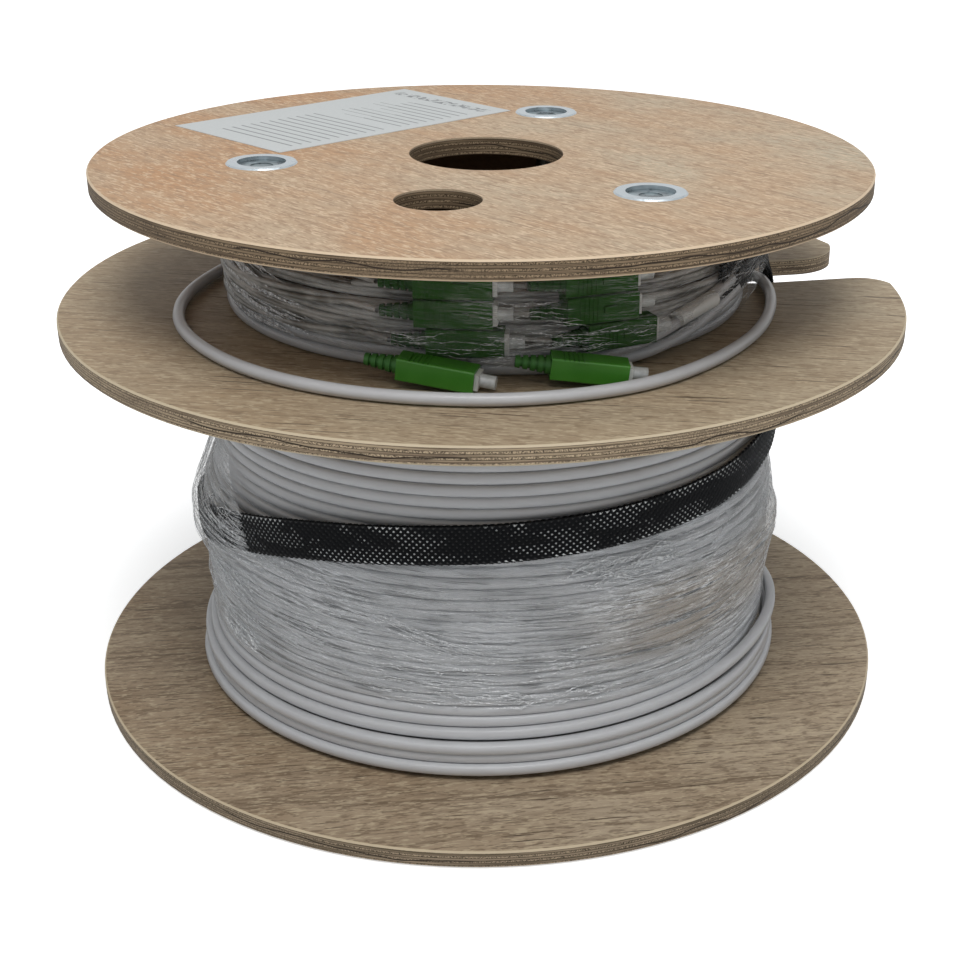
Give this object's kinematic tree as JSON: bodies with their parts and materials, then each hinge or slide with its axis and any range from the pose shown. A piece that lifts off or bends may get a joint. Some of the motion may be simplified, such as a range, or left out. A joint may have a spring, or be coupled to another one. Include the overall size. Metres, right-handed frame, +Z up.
{
  "type": "wooden cable drum",
  "caption": "Plywood cable drum with two compartments: a wound white cable below, its plugs and fan-out legs wrapped in clear film above.",
  "frame": {"origin": "centre of the bottom flange's underside, on the drum's axis", "axes": "+Z up along the drum's axis; -Y towards the side with the plugs and the drive hole"},
  "size_m": [0.312, 0.312, 0.202],
  "materials": {
    "plywood_top": "sanded, open fibre flecks, pale rim edge",
    "plywood_middle": "sanded, faint grain dashes",
    "plywood_bottom": "rough, dark grain dashes",
    "core_tube": "matt brown",
    "zinc_steel": "bright zinc plate",
    "cable_jacket": "smooth matt",
    "leg_bundle": "smooth matt",
    "braided_mesh": "fine black mesh",
    "clear_film": "clear stretch film, wrinkled",
    "label_paper": "matt",
    "green_plastic": "semi-gloss",
    "green_rubber": "matt",
    "white_plastic": "semi-gloss",
    "clear_plastic": "clear, glossy"
  },
  "bodies": {
    "root": {"bottom_flange": "plywood_bottom", "bottom_nut_1": "zinc_steel", "bottom_nut_2": "zinc_steel", "bottom_nut_3": "zinc_steel", "braided_sleeve": "braided_mesh", "breakout_tube": "white_plastic", "crossing_cable": "cable_jacket", "label": "label_paper", "lower_barrel": "core_tube", "lower_film": "clear_film", "lower_winding": "cable_jacket", "middle_flange": "plywood_middle", "plug_1_body": "white_plastic", "plug_1_boot": "green_rubber", "plug_1_cap": "clear_plastic", "plug_1_housing": "green_plastic", "plug_2_body": "white_plastic", "plug_2_boot": "green_rubber", "plug_2_cap": "clear_plastic", "plug_2_housing": "green_plastic", "plug_3_body": "white_plastic", "plug_3_boot": "green_rubber", "plug_3_cap": "clear_plastic", "plug_3_housing": "green_plastic", "plug_4_body": "white_plastic", "plug_4_boot": "green_rubber", "plug_4_cap": "clear_plastic", "plug_4_housing": "green_plastic", "plug_5_body": "white_plastic", "plug_5_boot": "green_rubber", "plug_5_cap": "clear_plastic", "plug_5_housing": "green_plastic", "plug_6_body": "white_plastic", "plug_6_boot": "green_rubber", "plug_6_cap": "clear_plastic", "plug_6_housing": "green_plastic", "plug_7_body": "white_plastic", "plug_7_boot": "green_rubber", "plug_7_cap": "clear_plastic", "plug_7_housing": "green_plastic", "plug_8_body": "white_plastic", "plug_8_boot": "green_rubber", "plug_8_cap": "clear_plastic", "plug_8_housing": "green_plastic", "tie_rod_1": "zinc_steel", "tie_rod_2": "zinc_steel", "tie_rod_3": "zinc_steel", "top_flange": "plywood_top", "top_nut_1": "zinc_steel", "top_nut_2": "zinc_steel", "top_nut_3": "zinc_steel", "upper_barrel": "core_tube", "upper_film": "clear_film", "upper_winding": "leg_bundle"}
  },
  "joints": []
}
